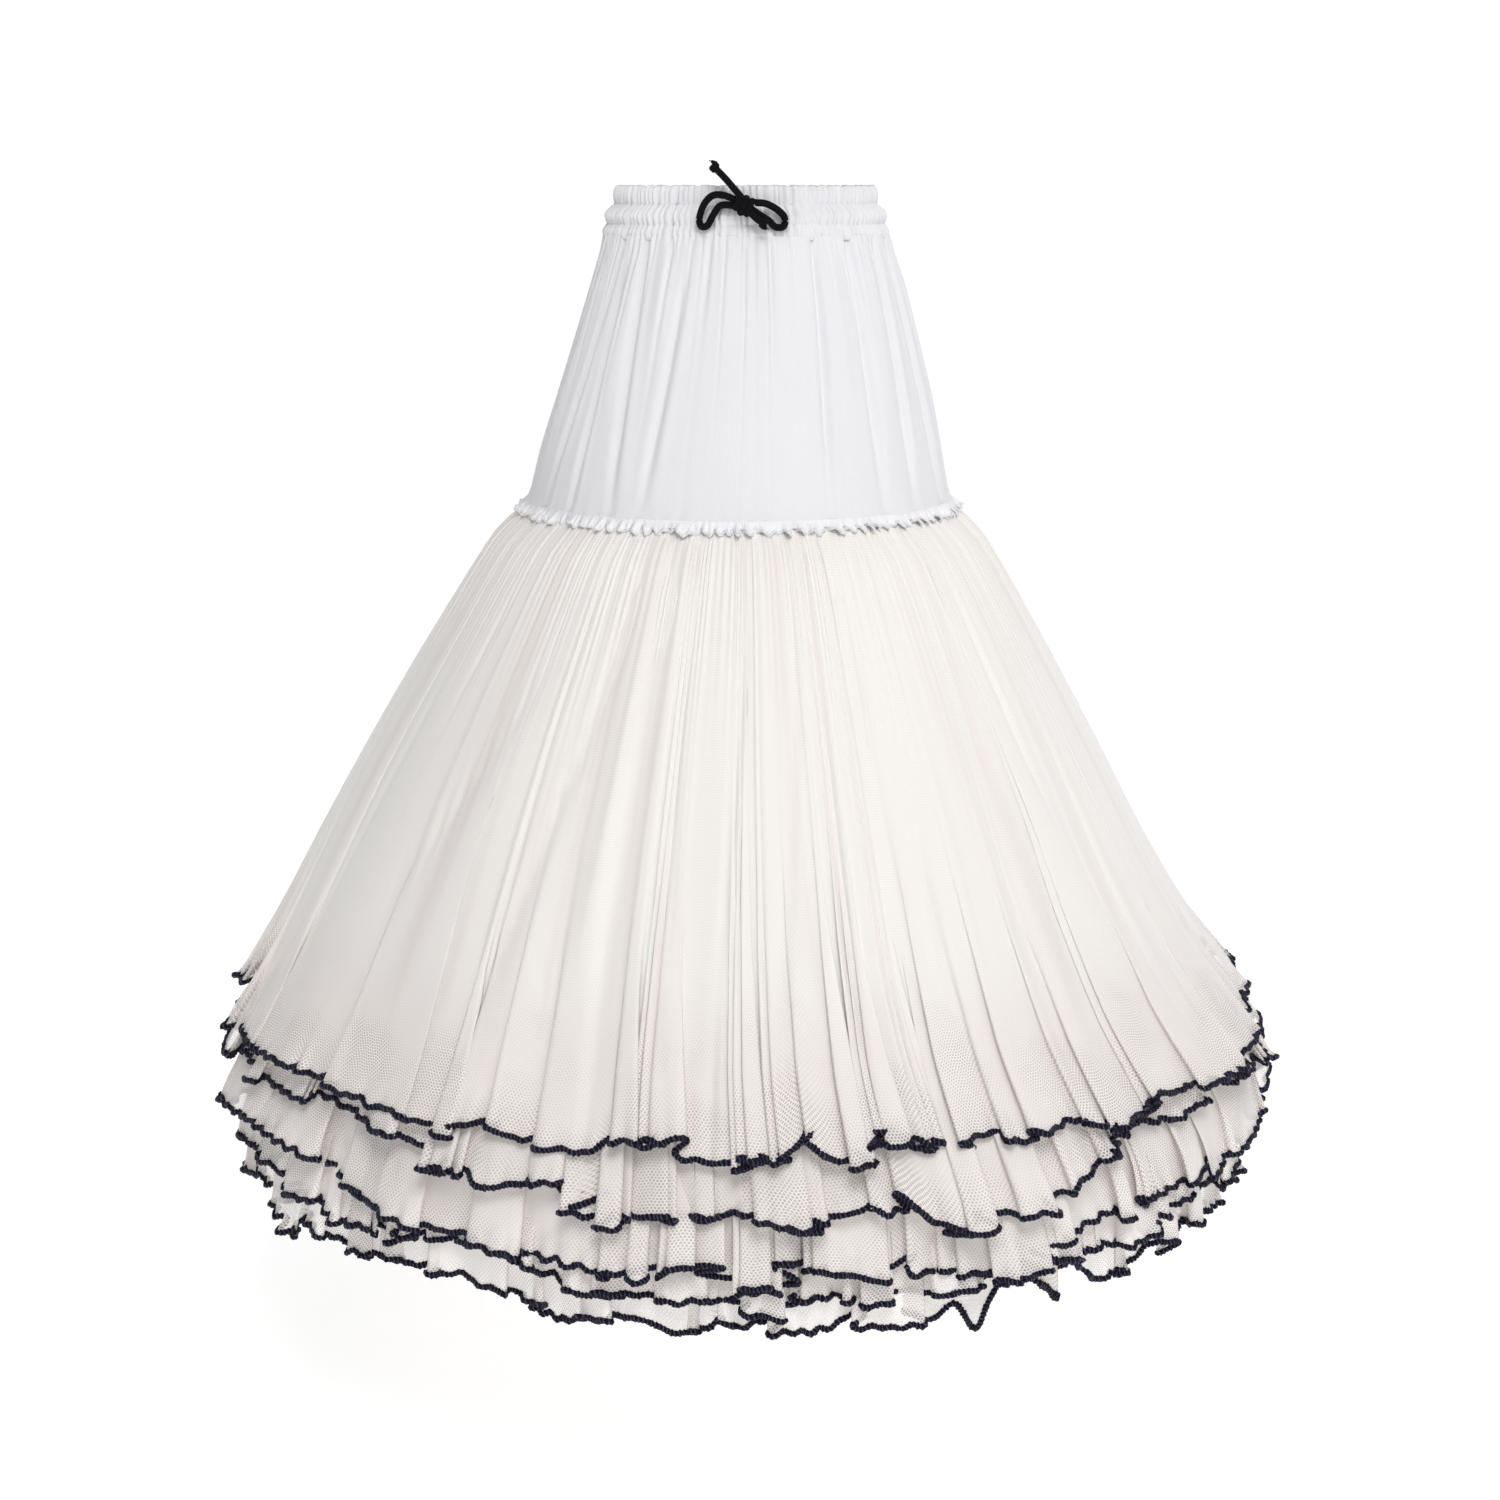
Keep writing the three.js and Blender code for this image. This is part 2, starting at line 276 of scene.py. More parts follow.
def math_node(tree, operation, a, b=0.0, c=0.0):
    made = node(tree, "ShaderNodeMath", {0: a, 1: b, 2: c}, operation=operation)
    return made.outputs[0]


def mix_colour(tree, share, a, b):
    made = node(tree, "ShaderNodeMix", {0: share}, data_type="RGBA")
    made.inputs[6].default_value = (*a, 1)
    made.inputs[7].default_value = (*b, 1)
    return made.outputs[2]


def noise_node(tree, vector, scale, detail):
    made = node(tree, "ShaderNodeTexNoise", {"Vector": vector, "Scale": scale, "Detail": detail})
    return made.outputs[0]


def group(name, inputs, outputs):
    """A new node group with its sockets, and the nodes that stand for its two ends."""
    made = bpy.data.node_groups.new(name, "ShaderNodeTree")
    for label, kind, value in inputs:
        socket = made.interface.new_socket(label, in_out="INPUT", socket_type=kind)
        if value is not None:
            socket.default_value = value
    for label, kind in outputs:
        made.interface.new_socket(label, in_out="OUTPUT", socket_type=kind)
    return made, made.nodes.new("NodeGroupInput"), made.nodes.new("NodeGroupOutput")


def net_weave():
    """Round holes in a six-sided lattice, as bobbin net has: 1 on the thread, 0 in a hole."""
    made, given, out = group(
        "net weave",
        [("Vector", "NodeSocketVector", None), ("Pitch", "NodeSocketFloat", 0.003)],
        [("Thread", "NodeSocketFloat")],
    )
    split = node(made, "ShaderNodeSeparateXYZ", {0: given.outputs["Vector"]})
    total = None
    for degrees in (90, 210, 330):
        c, s = math.cos(math.radians(degrees)), math.sin(math.radians(degrees))
        across = math_node(made, "MULTIPLY", split.outputs[0], c)
        along = math_node(made, "MULTIPLY_ADD", split.outputs[1], s, across)
        turns = math_node(made, "DIVIDE", along, given.outputs["Pitch"])
        wave = math_node(made, "COSINE", math_node(made, "MULTIPLY", turns, TURN * 1.1547))
        total = wave if total is None else math_node(made, "ADD", total, wave)
    thread = smooth_range(made, total, -0.2, 0.7, 1.0, 0.0)
    made.links.new(thread, out.inputs["Thread"])
    return made


def thread_rope():
    """Dense overlock stitches wound across an edge: height and a mask of its glints."""
    made, given, out = group(
        "thread rope",
        [
            ("Vector", "NodeSocketVector", None),
            ("Pitch", "NodeSocketFloat", 0.0024),
            ("Slant", "NodeSocketFloat", 1.5),
        ],
        [("Height", "NodeSocketFloat"), ("Glint", "NodeSocketFloat")],
    )
    split = node(made, "ShaderNodeSeparateXYZ", {0: given.outputs["Vector"]})
    turns = math_node(made, "DIVIDE", split.outputs[0], given.outputs["Pitch"])
    slanted = math_node(made, "MULTIPLY_ADD", split.outputs[1], given.outputs["Slant"], turns)
    noise = noise_node(made, given.outputs["Vector"], 420.0, 2.0)
    wobble = math_node(made, "MULTIPLY_ADD", noise, 0.9, slanted)
    wave = math_node(made, "SINE", math_node(made, "MULTIPLY", wobble, TURN))
    height = math_node(made, "MULTIPLY_ADD", wave, 0.5, 0.5)
    glint = smooth_range(made, math_node(made, "MULTIPLY", height, noise), 0.44, 0.6)
    made.links.new(height, out.inputs["Height"])
    made.links.new(glint, out.inputs["Glint"])
    return made


NET_WEAVE = net_weave()
THREAD_ROPE = thread_rope()


def uv_vector(tree):
    return node(tree, "ShaderNodeUVMap", uv_map="UVMap").outputs[0]


def object_vector(tree):
    return node(tree, "ShaderNodeTexCoord").outputs["Object"]


def bump(tree, shader, height, distance, strength=1.0):
    made = node(tree, "ShaderNodeBump", {"Height": height, "Distance": distance, "Strength": strength})
    tree.links.new(made.outputs[0], shader.inputs["Normal"])


def net_material(name, colour, streak_and_painted_shade_colour, thread, hole, hole_at_hem, pitch):
    """Stiff net. Its holes show most near the hem, where few layers lie on each other.

    thread, hole and hole_at_hem are how solid each looks, from 0 to 1, and pitch is in metres.
    """
    material, tree, shader = new_material(name, 0.8, sheen=0.5, sheen_rough=0.6)
    vector = uv_vector(tree)
    woven = node(tree, "ShaderNodeGroup", node_tree=NET_WEAVE)
    tree.links.new(vector, woven.inputs["Vector"])
    woven.inputs["Pitch"].default_value = pitch
    from_hem = node(tree, "ShaderNodeSeparateXYZ", {0: vector}).outputs[1]
    patches = noise_node(tree, vector, 14.0, 1.0)
    height = math_node(tree, "MULTIPLY_ADD", patches, 0.22, from_hem)
    open_hole = smooth_range(tree, height, 0.1, 0.19, hole_at_hem, hole)
    alpha = node(
        tree,
        "ShaderNodeMapRange",
        {"Value": woven.outputs["Thread"], "To Min": open_hole, "To Max": thread},
    )
    tree.links.new(alpha.outputs[0], shader.inputs["Alpha"])
    stretched = node(tree, "ShaderNodeMapping", {"Vector": vector})
    stretched.inputs["Scale"].default_value = (26.0, 1.3, 1.0)
    streaks = smooth_range(tree, noise_node(tree, stretched.outputs[0], 1.0, 3.0), 0.44, 0.74)
    # Painted shade: towards the hem the tone turns to the darker colour, for the shaded inside of the
    # skirt seen through the net's few layers there.
    painted_hem_shade = smooth_range(tree, from_hem, 0.06, 0.15, 0.7, 0.0)
    # The tone: random streaks or the painted shade near the hem, whichever is stronger.
    streak_and_painted_shade_share = math_node(tree, "MAXIMUM", streaks, painted_hem_shade)
    tone = mix_colour(tree, streak_and_painted_shade_share, colour, streak_and_painted_shade_colour)
    tree.links.new(tone, shader.inputs["Base Color"])
    bump(tree, shader, woven.outputs["Thread"], 0.0002, 0.15)
    return material


def jersey_material(name, colour, wale=0.0011):
    """Fine white jersey: rows of knit loops, a soft nap and a little unevenness."""
    material, tree, shader = new_material(name, 0.85, sheen=0.25)
    vector = uv_vector(tree)
    split = node(tree, "ShaderNodeSeparateXYZ", {0: vector})
    across = math_node(tree, "SINE", math_node(tree, "MULTIPLY", split.outputs[0], TURN / wale))
    down = math_node(tree, "SINE", math_node(tree, "MULTIPLY", split.outputs[1], TURN / (wale * 0.8)))
    loops = math_node(tree, "MULTIPLY_ADD", down, 0.5, across)
    nap = noise_node(tree, object_vector(tree), 900.0, 2.0)
    cloudy = noise_node(tree, object_vector(tree), 14.0, 3.0)
    dark = tuple(c * 0.955 for c in colour)
    tone = mix_colour(tree, cloudy, colour, dark)
    tree.links.new(tone, shader.inputs["Base Color"])
    height = math_node(tree, "MULTIPLY_ADD", nap, 1.2, loops)
    bump(tree, shader, height, 0.00012, 0.6)
    return material


def thread_material(name, colour, glint, pitch, slant, depth, roughness=0.55):
    """Dull thread, wound or braided: pitch and depth are a strand's, in metres."""
    material, tree, shader = new_material(name, roughness)
    shader.inputs["Specular IOR Level"].default_value = 0.15
    wound = node(tree, "ShaderNodeGroup", node_tree=THREAD_ROPE)
    tree.links.new(uv_vector(tree), wound.inputs["Vector"])
    wound.inputs["Pitch"].default_value = pitch
    wound.inputs["Slant"].default_value = slant
    tone = mix_colour(tree, wound.outputs["Glint"], colour, glint)
    tree.links.new(tone, shader.inputs["Base Color"])
    bump(tree, shader, wound.outputs["Height"], depth)
    return material


JERSEY = jersey_material("white jersey", (0.82, 0.815, 0.84))
NET = net_material(
    "ivory net",
    colour=(0.985, 0.955, 0.92),
    # The second colour is darker and pinker: it gives the random streaks and the painted shade towards
    # the hem.
    streak_and_painted_shade_colour=(0.93, 0.863, 0.833),
    thread=0.84,
    hole=0.78,
    hole_at_hem=0.34,
    pitch=0.0025,
)
LINING = net_material(
    "fine pale net",
    colour=(0.96, 0.945, 0.92),
    # The second colour gives the random streaks and the painted shade towards the hem.
    streak_and_painted_shade_colour=(0.93, 0.91, 0.88),
    thread=0.97,
    hole=0.8,
    hole_at_hem=0.8,
    pitch=0.0016,
)
NAVY = thread_material(
    "navy overlock thread",
    colour=(0.009, 0.008, 0.028),
    glint=(0.32, 0.32, 0.45),
    pitch=0.0033,
    slant=1.0,
    depth=0.001,
)
WHITE_THREAD = thread_material(
    "white overlock thread",
    colour=(0.88, 0.88, 0.9),
    glint=(0.95, 0.95, 0.97),
    pitch=0.0022,
    slant=1.0,
    depth=0.0002,
)
CORD_BLACK = thread_material(
    "black braided cord",
    colour=(0.0035, 0.0035, 0.005),
    glint=(0.012, 0.012, 0.017),
    pitch=0.0028,
    slant=3.0,
    depth=0.0004,
    roughness=0.85,
)

# Drawstring

# The cord's thickness and its routes, in millimetres: across, out from the waist and up.
CORD = 6.0
LOOP_LEFT = [
    (-9, -103, 13),
    (-19, -101, 16.5),
    (-28, -99.5, 16),
    (-35, -98.5, 9),
    (-39, -97.5, -2),
    (-37.5, -98, -9),
    (-32, -99, -8),
    (-27.5, -100, 0),
    (-21, -101, 8),
    (-10, -102, 8),
]
LOOP_RIGHT = [
    (8, -103, 10.5),
    (17, -101.5, 9.5),
    (26, -100, 5),
    (32.5, -99, -1.5),
    (32, -99, -9),
    (25, -100, -9.5),
    (19, -101, -4),
    (8.5, -102, 2.5),
]
END_LONG = [(-4, -104.5, 15), (-9, -104, 21), (-17, -101, 30), (-25.5, -97, 38.5)]
END_SHORT = [(4, -106, 2), (9, -108, -2.5), (14, -108, -6)]


def end_knot(name, at, axis):
    """A small overhand knot at a cord's end: two turns of the cord round itself, and its tip."""
    axis = np.asarray(axis, float) / np.linalg.norm(axis)
    side = np.cross(axis, (0, 1, 0.2))
    side /= np.linalg.norm(side)
    front = np.cross(side, axis)
    t = np.linspace(0, 1, 40)[:, None]
    turn = 1.6 * TURN * t
    line = (
        np.asarray(at, float)
        + 2.4 * (np.cos(turn) * side + np.sin(turn) * front)
        + axis * (3.4 * t - 1.2)
    )
    tip = line[-1] + axis * 4.5 + side * 1.2
    line = np.vstack([line, line[-1] + axis * 2.2, tip])
    radius = np.full(len(line), 2.3) / 1000
    radius[-3:] = (0.0019, 0.0016, 0.0008)
    mesh = tube_mesh(name, line / 1000, radius, 10, False, out=np.tile(axis + 0.3 * side, (len(line), 1)))
    close_ends(mesh)
    return piece(name, mesh, CORD_BLACK, "cord_black")


def bow_knot():
    """The bow's knot: a cord wound over and under its strands, slanting a little."""
    t = np.linspace(0, 1, 110)
    turn = TURN * 2.4 * t - 0.9
    x = -1.5 + 12.0 * (t - 0.5) + 1.2 * np.sin(turn)
    y = -102.4 - 4.4 * np.cos(turn)
    z = 8 + (6.2 - 5.0 * (t - 0.5) ** 2) * np.sin(turn) - 3.0 * (t - 0.5)
    line = np.stack([x, y, z], axis=1) / 1000
    mesh = tube_mesh("bow_knot", line, 0.003, 12, False, out=np.tile([1.0, 0.1, 0.2], (len(t), 1)))
    close_ends(mesh)
    return piece("bow_knot", mesh, CORD_BLACK, "cord_black", "drawcord_knot")


def bow_cord(name, loop, end, nodes, lift):
    """One cord: out from behind the knot, round its loop, through the knot and out to its end."""
    middle = [(-1 + 0.3 * lift, -102.4, 8 + lift)]
    route = np.array(loop + middle + end, float)
    line = smooth_curve(route, 9)
    mesh = tube_mesh(name, line / 1000, CORD / 2000, 12, False)
    close_ends(mesh)
    cord = piece(name, mesh, CORD_BLACK, "cord_black", *nodes)


def drawstring():
    knot = bow_knot()
    tip_long = end_knot("end_knot_long", (-26.2, -96.6, 39.4), (-0.66, 0.2, 0.72))
    tip_short = end_knot("end_knot_short", (14.6, -108, -6.4), (0.8, 0.0, -0.6))
    bow_cord(
        "cord_left",
        LOOP_LEFT,
        END_SHORT,
        ("drawcord_loop_left", "drawcord_end_short"),
        -1.5,
    )
    bow_cord(
        "cord_right",
        LOOP_RIGHT,
        END_LONG,
        ("drawcord_loop_right", "drawcord_end_long"),
        2.0,
    )


drawstring()

# Waistband

GATHERS = 120
BAND_COLUMNS = GATHERS * 14
TOPSTITCHES = 190
TOPSTITCH_RADIUS = 0.00032
TOPSTITCH_LENGTH = 0.0022
# Height, how far the cloth stands off the band's form, and how deep its gathers are there.
BAND_FORM = [
    (-20.8, -0.4, 1.0),
    (-19.0, 0.4, 1.2),
    (-17.0, 0.7, 1.4),
    (-14.0, 0.5, 1.5),
    (-11.0, 0.9, 1.4),
    (-8.8, 1.4, 1.1),
    (-8.0, 1.3, 1.0),
    (-7.2, 1.4, 1.1),
    (-5.0, 1.2, 1.5),
    (-1.0, 1.0, 1.9),
    (3.0, 0.9, 1.9),
    (6.6, 0.9, 1.6),
    (8.2, 1.0, 1.1),
    (9.0, 0.9, 1.0),
    (9.8, 1.0, 1.1),
    (12.0, 0.8, 1.5),
    (16.0, 0.5, 1.8),
    (20.0, 0.4, 1.9),
    (23.0, 0.2, 1.8),
    (24.6, -1.0, 1.7),
    (23.4, -2.4, 1.4),
    (16.0, -3.2, 1.0),
    (9.0, -3.6, 0.4),
    (0.0, -4.8, 0.8),
    (-8.0, -4.6, 0.4),
    (-14.0, -4.6, 0.6),
    (-19.6, -3.4, 0.4),
]


def band_gathers(turn, level=0.0):
    """The shirred gathers, -1 in a groove to 1 on a crest: full crests and narrow grooves."""
    wander = 0.35 * np.sin(TURN * 17 * turn + 1) + 0.3 * np.sin(TURN * 29 * turn)
    wander = wander + 0.25 * np.sin(TURN * 43 * turn + 2)
    slip = 0.5 * np.sin(TURN * 37 * turn + 5 * level) * level
    size = 0.85 + 0.3 * np.sin(TURN * 23 * turn + 0.5) + 0.25 * np.sin(TURN * 37 * turn + 2)
    phase = TURN * GATHERS * turn / 2 + 1.3 * wander + slip
    return (2.6 * np.abs(np.cos(phase)) ** 0.8 - 1.8) * size


def waistband():
    """The casing: its outer face up from the yoke, over the top edge and down its inside."""
    turn = np.linspace(0, 1, BAND_COLUMNS + 1)
    points, uv = [], []
    length = 0.0
    last = None
    for z, off, depth in BAND_FORM:
        half, deep = column_of(BAND, z, 1), column_of(BAND, z, 2)
        out = off + depth * band_gathers(turn, smoothstep(-20, 16, z) * 0.8)
        lift = 0.45 * smoothstep(20, 24, z) * np.sin(TURN * 61 * turn + 2 * np.sin(TURN * 13 * turn))
        angle = turn * TURN
        points.append(
            np.stack([(half + out) * np.sin(angle), -(deep + out) * np.cos(angle), z + lift], axis=1)
        )
        length += 0 if last is None else math.hypot(z - last[0], off - last[1])
        last = (z, off)
        uv.append(np.stack([turn * 0.95, np.full_like(turn, length / 1000)], axis=1))
    mesh = rows_mesh("waistband_casing", np.array(points) / 1000, np.array(uv))
    band = piece("waistband_casing", mesh, JERSEY, "jersey_white", "waistband")


def stitch_row(name, z, off):
    """A row of topstitches sunk into the gathers: short lengths of thread, end to end."""
    bm = bmesh.new()
    for k in range(TOPSTITCHES):
        angle = (k + 0.5) / TOPSTITCHES * TURN
        half, deep = column_of(BAND, z, 1) + off, column_of(BAND, z, 2) + off
        at = Vector((half * math.sin(angle), -deep * math.cos(angle), z)) / 1000
        heading = math.atan2(deep * math.sin(angle), half * math.cos(angle))
        made = bmesh.ops.create_cone(
            bm,
            segments=5,
            radius1=TOPSTITCH_RADIUS,
            radius2=TOPSTITCH_RADIUS,
            depth=TOPSTITCH_LENGTH,
            cap_ends=True,
        )
        laid = Matrix.Rotation(heading, 3, "Z") @ Matrix.Rotation(math.pi / 2, 3, "Y")
        bmesh.ops.rotate(bm, verts=made["verts"], matrix=laid, cent=(0, 0, 0))
        bmesh.ops.translate(bm, verts=made["verts"], vec=at)
    mesh = bpy.data.meshes.new(name)
    bm.to_mesh(mesh)
    bm.free()
    mesh.uv_layers.new(name="UVMap")
    piece(name, mesh, WHITE_THREAD, "jersey_white")


waistband()
stitch_row("stitches_upper", 9.0, 0.1)
stitch_row("stitches_lower", -8.0, 0.1)

# Yoke

YOKE_TOP = -17.0
YOKE_FOOT = -254.5
YOKE_COLUMNS = 640
YOKE_ROWS = 40
FRILL_COLUMNS = 1600
FRILL_THREAD = 0.0013
FRILL_STITCHES = 900
# Angle at the waist and at the net in degrees from the front, depth in millimetres (a
# trough is negative), width in degrees, and the share of the yoke where it starts and ends.
YOKE_FOLDS = [
    (-78, -86, -3.0, 3.6, -0.2, 1.05),
    (-66, -74, 2.2, 4.2, -0.1, 0.9),
    (-56, -63, -3.4, 3.2, -0.2, 0.95),
    (-50, -50, -2.6, 2.8, 0.1, 1.05),
    (-46, -43, 2.0, 3.6, -0.1, 0.8),
    (-42, -35, -3.0, 3.0, -0.2, 1.0),
    (-31, -30, 1.4, 3.4, -0.1, 0.55),
    (-22, -26, -2.2, 2.8, 0.05, 1.0),
    (-14, -15, -1.2, 2.2, -0.2, 0.4),
    (-6, -8, 0.9, 3.2, -0.2, 0.5),
    (3, 4, -0.9, 2.4, -0.2, 0.35),
    (12, 13, 0.9, 3.0, -0.2, 0.6),
    (27, 24, -2.8, 2.8, -0.2, 1.0),
    (34, 32, 1.6, 3.2, -0.1, 0.7),
    (44, 41, -3.2, 3.2, -0.2, 1.0),
    (53, 47, 2.2, 3.4, -0.1, 0.85),
    (61, 53, -3.0, 3.0, -0.1, 1.0),
    (75, 70, -3.0, 3.6, -0.2, 1.05),
    (86, 82, 2.2, 4.0, -0.1, 0.9),
    (100, 97, -2.8, 3.6, -0.2, 1.0),
    (112, 108, 2.0, 3.8, -0.1, 0.8),
    (121, 124, -3.2, 3.0, -0.2, 1.0),
    (134, 131, -2.2, 3.0, 0.0, 0.7),
    (143, 146, -3.0, 3.0, -0.2, 1.0),
    (155, 152, 1.4, 3.2, -0.1, 0.6),
    (163, 166, -2.4, 2.8, -0.2, 0.9),
    (178, 176, -1.2, 2.6, -0.2, 0.5),
    (-169, -166, -2.0, 2.8, -0.1, 0.9),
    (-158, -161, 1.2, 3.0, -0.1, 0.6),
    (-149, -146, -3.0, 3.0, -0.2, 1.0),
    (-136, -139, -2.6, 3.0, 0.05, 0.9),
    (-126, -122, -3.2, 3.2, -0.2, 1.0),
    (-113, -116, 2.2, 3.6, -0.1, 0.8),
    (-102, -98, -2.8, 3.6, -0.2, 1.0),
]


def yoke_offset(angle, share):
    """How far the yoke stands off its form: its folds, the grooves of its gathers, and puckers."""
    degrees = np.degrees(angle)
    out = np.zeros(np.broadcast(angle, share).shape)
    for top, bottom, depth, width, start, stop in YOKE_FOLDS:
        centre = top + (bottom - top) * share
        away = (degrees - centre + 180) % 360 - 180
        fade = smoothstep(start, start + 0.3, share) * (1 - smoothstep(stop - 0.35, stop, share) * 0.85)
        reach = width * (0.5 if depth < 0 else 1.1)
        out = out + 1.9 * depth * fade * np.exp(-((away / reach) ** 2))
        if depth < 0:
            out = out - 0.6 * depth * fade * np.exp(-(((away - 2.2 * reach) / (1.3 * reach)) ** 2))
    long_groove = np.exp(-((np.sin(17 * angle + 1.3 * np.sin(5 * angle)) / 0.2) ** 2))
    short_groove = np.exp(-((np.sin(27 * angle + 0.9 * np.sin(7 * angle) + 1) / 0.26) ** 2))
    long_groove = long_groove * (1 + 0.6 * np.sin(9 * angle + 1)) * np.exp(-share / 0.32)
    short_groove = short_groove * (1 + 0.5 * np.sin(11 * angle)) * np.exp(-share / 0.16)
    out = out + 1.2 * band_gathers(angle / TURN) * np.exp(-share / 0.035)
    out = out - (2.3 * long_groove + 1.8 * short_groove) * smoothstep(-0.02, 0.05, share)
    puckers = np.sin(83 * angle + 1.5 * np.sin(13 * angle))
    return out + 0.4 * puckers * np.exp(-(1 - share) / 0.04)


def yoke_panel(name, first, last, node_name):
    """The jersey from one side seam to the other, sunk a little at both seams."""
    angle = np.radians(np.linspace(first, last, YOKE_COLUMNS + 1))[None, :]
    share = np.linspace(0, 1, YOKE_ROWS + 1)[:, None] ** 1.3
    z = YOKE_TOP + share * (YOKE_FOOT - YOKE_TOP)
    out = yoke_offset(angle, share) - 1.4 * np.exp(-share / 0.012)
    edge = np.minimum(angle - angle[0, 0], angle[0, -1] - angle)
    seam = -0.9 * np.exp(-((edge / math.radians(0.5)) ** 2))
    z = np.broadcast_to(z, out.shape)
    points = on_skirt(angle, z, out + seam)
    uv = np.stack(np.broadcast_arrays(angle * 0.165, 0.245 * share), axis=-1)
    panel = piece(name, rows_mesh(name, points, uv, closed=False), JERSEY, "jersey_white", node_name)


yoke_panel("yoke_front_panel", -90.0, 90.0, "yoke_front")
yoke_panel("yoke_back_panel", 90.0, 270.0, "yoke_back")


def hem_thread(name, hem, outward, radius, stitches, material, slot, seed, *nodes):
    """An overlocked edge along a closed hem: a row of beads, one for each bunch of stitches."""
    rng = np.random.default_rng(seed)
    loop = np.concatenate([hem, hem[:1]])
    along = np.concatenate([[0], np.cumsum(np.linalg.norm(np.diff(loop, axis=0), axis=1))])
    even = np.linspace(0, along[-1], 2 * stitches, endpoint=False)
    path = np.stack([np.interp(even, along, loop[:, k]) for k in range(3)], axis=1)
    facing = np.concatenate([outward, outward[:1]])
    out = np.stack([np.interp(even, along, facing[:, k]) for k in range(3)], axis=1)
    bead = np.where(np.arange(len(even)) % 2, 1.16, 0.84)
    size = radius * bead * (1 + 0.1 * rng.normal(0, 1, len(even)).clip(-2, 2))
    mesh = tube_mesh(name, path, size, 6, True, 0.9, out)
    return piece(name, mesh, material, slot, *nodes)


def yoke_frill():
    """The yoke's overlocked edge: a narrow frill that curls out over the net like a lettuce leaf."""
    rng = np.random.default_rng(SEED)
    turn = np.linspace(0, 1, FRILL_COLUMNS + 1)[None, :]
    share = np.linspace(0, 1, 9)[:, None]
    angle = turn * TURN
    wander = np.sin(TURN * 11 * turn) + 0.7 * np.sin(TURN * 19 * turn + 1)
    phase = TURN * 96 * turn + 3.0 * wander
    size = 1 + 0.5 * uneven_wave(turn, 9, 40, 4, rng)
    ripple = size * np.sin(phase) + 0.6 * uneven_wave(turn, 120, 240, 5, rng)
    crest = 0.7 * size * np.cos(phase) + 0.7 * uneven_wave(turn, 50, 170, 6, rng)
    z = -248.5 - 9.0 * share + 2.2 * share**2 * crest
    out = 1.4 + 4.6 * share**0.8 + 2.9 * share**1.2 * ripple
    z, out = np.broadcast_arrays(z, out)
    base = on_skirt(angle, np.maximum(z, NET_FREE), 0 * out, rounded=False)
    radial = np.stack(np.broadcast_arrays(np.sin(angle), -np.cos(angle), 0 * angle), axis=-1)
    points = base + radial * out[..., None] / 1000
    points[..., 2] = z / 1000
    uv = np.stack(np.broadcast_arrays(turn * 1.5, share * 0.009), axis=-1)
    mesh = rows_mesh("seam_frill", points, uv)
    frill = piece("seam_frill", mesh, WHITE_THREAD, "jersey_white", "yoke_frill")
    outward = np.broadcast_to(radial, points.shape)[-1, :-1]
    edge = hem_thread(
        "seam_frill_edge",
        points[-1, :-1],
        outward,
        FRILL_THREAD,
        FRILL_STITCHES,
        WHITE_THREAD,
        "jersey_white",
        SEED,
    )


yoke_frill()

# Net

# A layer's hem in front, how much lower it is at the sides, how far its free cloth lies
# inside the outermost, how far its hem flares, how far up from its hem it shows, all in
# millimetres, and its cut in metres.
LAYERS = [
    dict(name="net_1", hem=-692, droop=12, inside=0, flare=3, shown=120, cut=(4.3, 0.5)),
    dict(name="net_2", hem=-739, droop=16, inside=11, flare=7, shown=50, cut=(4.4, 0.55)),
    dict(name="net_3", hem=-773, droop=24, inside=20, flare=6, shown=36, cut=(4.4, 0.58)),
    dict(name="net_4", hem=-798, droop=30, inside=29, flare=5, shown=30, cut=(4.4, 0.61)),
    dict(name="net_5", hem=-848, droop=22, inside=37, flare=5, shown=46, cut=(4.4, 0.66)),
]
